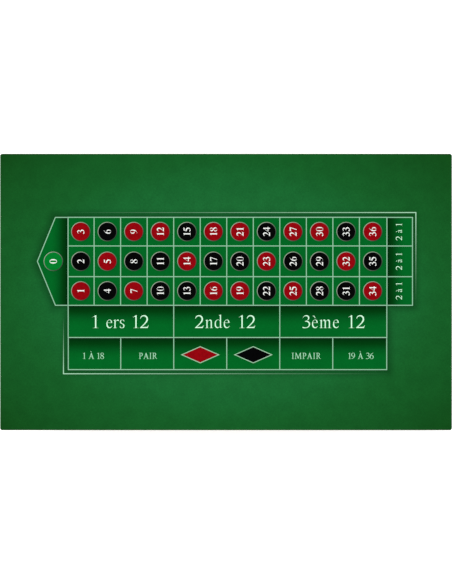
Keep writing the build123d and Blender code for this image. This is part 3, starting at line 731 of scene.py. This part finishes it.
def word_outlines(alphabet, text, length=None):
    """A word's outlines, centred on 0, with its letters spaced out to a length if one is given."""
    letters = [glyph(alphabet, letter) for letter in text]
    if length is not None:
        letters = [(width * WIDER, [[(p[0] * WIDER, *p[1:]) for p in shape] for shape in shapes])
                   for width, shapes in letters]
    bare = sum(width for width, _ in letters)
    gap = NUMERAL_GAP if length is None else (length - bare) / (len(letters) - 1)
    pen = -(bare + gap * (len(letters) - 1)) / 2
    outlines = []
    for width, shapes in letters:
        outlines += [[(p[0] + pen, p[1], *p[2:]) for p in shape] for shape in shapes]
        pen += width + gap
    return outlines


def printed_words(name, alphabet, words, material, turned=False, thinner=0.0):
    """Print on the layout. Each word is (text, x, y, z, capital height, length or None).

    x and y are the middle of its baseline, and thinner takes that much off every stroke's edges.
    """
    pieces = []
    for text, x, y, z, height, length in words:
        curve = bpy.data.curves.new(name, "CURVE")
        curve.dimensions = "2D"
        curve.fill_mode = "BOTH"
        curve.resolution_u = 6
        curve.extrude = PRINT_DEPTH / 2
        curve.offset = -thinner
        scale = height / 100
        for outline in word_outlines(alphabet, text, length and length / scale):
            spline = curve.splines.new("BEZIER")
            spline.bezier_points.add(len(outline) - 1)
            spline.use_cyclic_u = True
            for point, knot in zip(outline, spline.bezier_points):
                along, up = point[0] * scale, point[1] * scale
                knot.co = (-up, along, 0) if turned else (along, up, 0)
                kind = "AUTO" if len(point) == 3 else "VECTOR"
                knot.handle_left_type = knot.handle_right_type = kind
        piece = bpy.data.objects.new(name, curve)
        bpy.context.scene.collection.objects.link(piece)
        piece.location = (x, y, z + LIFT + PRINT_DEPTH / 2)
        make_active(piece)
        bpy.ops.object.convert(target="MESH")
        pieces.append(settle(bpy.context.object))
    on_table(join(pieces, name), material)


def lettering():
    """The numbers and the plain bet names that any such layout has."""
    white = tape("white_screen_ink", "f6f8f4")
    mint = tape("mint_screen_ink", "d7ffe1")
    soft = tape("soft_mint_screen_ink", "a8dab8")
    disc_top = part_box("red_discs")[1][2]
    half = NUMERAL_HEIGHT / 2
    numbers = []
    for street in range(STREETS):
        for row in range(ROWS):
            number = str(3 * street + 1 + row)
            x, y = FIRST_X + PITCH_X * street, FIRST_Y + PITCH_Y * row
            numbers.append((number, x + half, y, disc_top, NUMERAL_HEIGHT, None))
    zero_x = (zero_disc_low[0] + zero_disc_high[0]) / 2
    zero_y = (zero_disc_low[1] + zero_disc_high[1]) / 2
    zero = [("0", zero_x + half, zero_y, zero_disc_high[2], NUMERAL_HEIGHT, None)]
    printed_words("numerals", BOLD, numbers, white, turned=True, thinner=0.36 * MM)
    printed_words("zero_numeral", BOLD, zero, white, turned=True)
    column_x = (column_low[0] + column_high[0]) / 2 + 5.6 * MM
    column_length = 52 * MM
    columns = [
        ("2 à 1", column_x, FIRST_Y + PITCH_Y * row, column_high[2], BET_HEIGHT, column_length)
        for row in range(ROWS)
    ]
    printed_words("column_bet_names", BOOK, columns, mint, turned=True, thinner=0.1 * MM)
    third, dozen_x = 4 * PITCH_X, FIRST_LINE_X + PITCH_X
    dozen_base = dozen_low[1] + 29 * MM
    # Each name, its length, and how far it stands from the middle of its field
    dozen_words = (("1 ers 12", 169, -1), ("2nde 12", 180, -4.7), ("3ème 12", 187, 2))
    dozens = [
        (text, dozen_x + third * n + aside * MM, dozen_base, dozen_high[2], DOZEN_HEIGHT, length * MM)
        for n, (text, length, aside) in enumerate(dozen_words)
    ]
    printed_words("dozen_bet_names", BOOK, dozens, mint, thinner=0.35 * MM)
    outside_x, outside_base = FIRST_LINE_X, outside_low[1] + 33 * MM
    # Each name, the street it starts at, its length, and how far it stands from the middle of its field
    outside_words = (
        ("1 À 18", 0, 64, -2.7), ("PAIR", 2, 54, 2), ("IMPAIR", 8, 86, 0), ("19 À 36", 10, 77, 4.7)
    )
    outside = [
        (text, outside_x + PITCH_X * n + aside * MM, outside_base, outside_high[2], BET_HEIGHT, length * MM)
        for text, n, length, aside in outside_words
    ]
    printed_words("outside_bet_names", BOOK, outside, soft)


# ---------------------------------------------------------------- staples


def staples():
    """Wire staples that hold the hem to the board, in a row along each edge, outside the apron."""
    wire, crown = 1.1 * MM, 10 * MM
    z = board_low[2]
    master = block("hem_staples", (-crown / 2, -wire / 2, z - wire), (crown / 2, wire / 2, z))
    select_in_mesh(master, "FACE", lambda face: abs(face.normal.x) > 0.9)
    bpy.ops.mesh.inset(thickness=0.1 * MM, depth=0)
    leave_edit()
    soft = master.modifiers.new("edge", "BEVEL")
    soft.width = 0.35 * MM
    soft.segments = 2
    apply_modifiers(master)
    setback, corner_gap, spacing = 9 * MM, 70 * MM, 62 * MM
    copies = []
    for along, across in ((0, 1), (1, 0)):
        reach = board_high[along] - corner_gap
        count = int(2 * reach / spacing)
        for index in range(count + 1):
            for way in (-1, 1):
                at = [0.0, 0.0, 0.0]
                at[along] = -reach + 2 * reach * index / count
                at[across] = way * (board_high[across] - setback)
                copy = bpy.data.objects.new("staple", master.data.copy())
                bpy.context.scene.collection.objects.link(copy)
                copy.location = at
                copy.rotation_euler.z = pi / 2 if along == 1 else 0
                copies.append(settle(copy))
    bpy.data.objects.remove(master)
    on_table(join(copies, "hem_staples"), metal("galvanised_staple_wire", "a2a39f", 0.4, 0))


# ---------------------------------------------------------------- stage


def stage():
    """A plain pale floor, an even white sky and one soft light from above."""
    nothing_selected()
    bpy.ops.mesh.primitive_plane_add(size=200, location=(0, 0, 0))
    floor = bpy.context.object
    floor.name = "floor"
    pale, white = (0.93, 0.93, 0.93, 1), (1, 1, 1, 1)
    glow = {"Emission_Color": white, "Emission_Strength": 0.28}
    material = surface("studio_floor", Base_Color=pale, Roughness=0.9, Specular_IOR_Level=0.0, **glow)[0]
    floor.data.materials.append(material)
    world = bpy.data.worlds.new("soft_studio")
    world.use_nodes = True
    sky = world.node_tree.nodes["Background"]
    sky.inputs["Color"].default_value = white
    sky.inputs["Strength"].default_value = 0.7
    bpy.context.scene.world = world
    sun_data = bpy.data.lights.new("overhead_soft_light", "SUN")
    sun_data.energy = 1.4
    sun_data.angle = radians(12)
    sun = bpy.data.objects.new("overhead_soft_light", sun_data)
    sun.rotation_euler = (radians(-6), radians(-6), 0)
    bpy.context.scene.collection.objects.link(sun)
    bpy.context.scene.view_settings.view_transform = "Standard"


def camera():
    """Straight down on the table, with the top as wide as the frame."""
    distance, width, sensor = 4.2, 1.333, 36.0
    data = bpy.data.cameras.new("overhead_camera")
    data.sensor_fit = "HORIZONTAL"
    data.sensor_width = sensor
    data.lens = sensor * distance / width
    eye = bpy.data.objects.new("overhead_camera", data)
    eye.location = (0, 0, cloth_top + distance)
    bpy.context.scene.collection.objects.link(eye)
    bpy.context.scene.camera = eye


camera()
stage()
finish_frame()
stretched_cloth(playing_felt())
layout_felts()
lettering()
staples()
